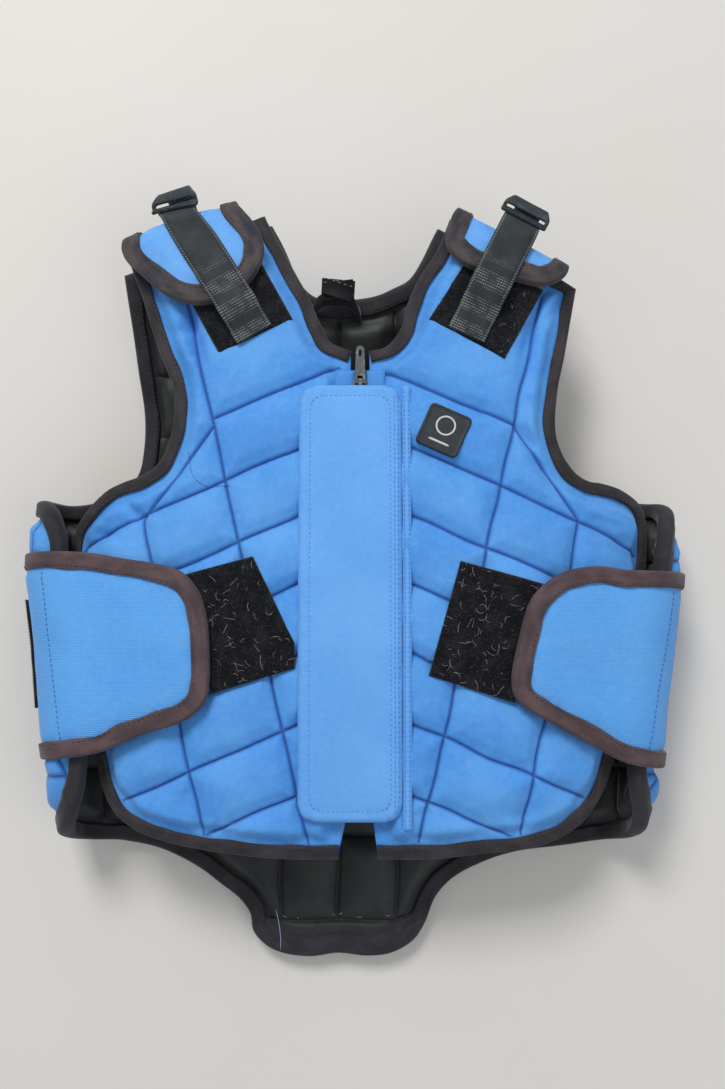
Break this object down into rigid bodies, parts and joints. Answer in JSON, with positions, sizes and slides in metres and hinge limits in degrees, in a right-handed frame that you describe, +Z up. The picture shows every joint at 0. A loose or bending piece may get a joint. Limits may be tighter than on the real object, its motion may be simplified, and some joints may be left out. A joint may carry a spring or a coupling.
{
  "type": "equestrian body protector",
  "caption": "Padded riding vest of quilted foam panels, open at neck, arms and waist, with a front zip under a flap, hook-and-loop waist belts and shoulder straps.",
  "frame": {"origin": "middle of the bounding box, on the floor that the protector lies on", "axes": "+X to the wearer's left, +Y up to the shoulders, +Z up from the floor, out of the chest"},
  "size_m": [0.4281, 0.5038, 0.0949],
  "materials": {
    "blue_cloth": "matt woven nylon over foam",
    "lining_mesh": "matt black mesh",
    "binding_tape": "faded ribbed tape",
    "hook_and_loop": "matt black pile",
    "webbing": "woven webbing with pale threads",
    "loop_plastic": "satin",
    "badge_rubber": "matt with a raised rim",
    "label_cloth": "woven label",
    "zip_metal": "worn dark metal",
    "zip_teeth": "satin coil"
  },
  "bodies": {
    "protector": {"back_panel": "blue_cloth", "back_lining": "lining_mesh", "back_binding": "binding_tape", "front_panel_right": "blue_cloth", "front_panel_left": "blue_cloth", "front_binding_right": "binding_tape", "front_binding_left": "binding_tape", "zip_teeth_right": "zip_teeth", "zip_teeth_left": "zip_teeth", "zip_tape_right": "blue_cloth", "zip_tape_left": "blue_cloth", "zip_slider": "zip_metal", "zip_flap": "blue_cloth", "zip_flap_base": "blue_cloth", "waist_velcro_right": "hook_and_loop", "waist_velcro_left": "hook_and_loop", "shoulder_velcro_right": "hook_and_loop", "shoulder_velcro_left": "hook_and_loop", "waist_belt_right": "blue_cloth", "waist_belt_left": "blue_cloth", "waist_belt_binding_right": "binding_tape", "waist_belt_binding_left": "binding_tape", "shoulder_cap_right": "blue_cloth", "shoulder_cap_left": "blue_cloth", "shoulder_cap_binding_right": "binding_tape", "shoulder_cap_binding_left": "binding_tape", "shoulder_strap_right": "webbing", "shoulder_strap_left": "webbing", "strap_loop_right": "loop_plastic", "strap_loop_left": "loop_plastic", "loop_tab_right": "webbing", "loop_tab_left": "webbing", "chest_badge": "badge_rubber", "side_label": "label_cloth", "hanger_loop": "webbing", "size_label": "label_cloth"},
    "pull": {"zip_pull": "zip_metal"}
  },
  "joints": [
    {"name": "pull_flip", "type": "hinge", "parent": "protector", "child": "pull", "pos_m": [0.0025, 0.1229, 0.08206], "axis": [1, 0, 0], "range_deg": [0, 100]}
  ]
}
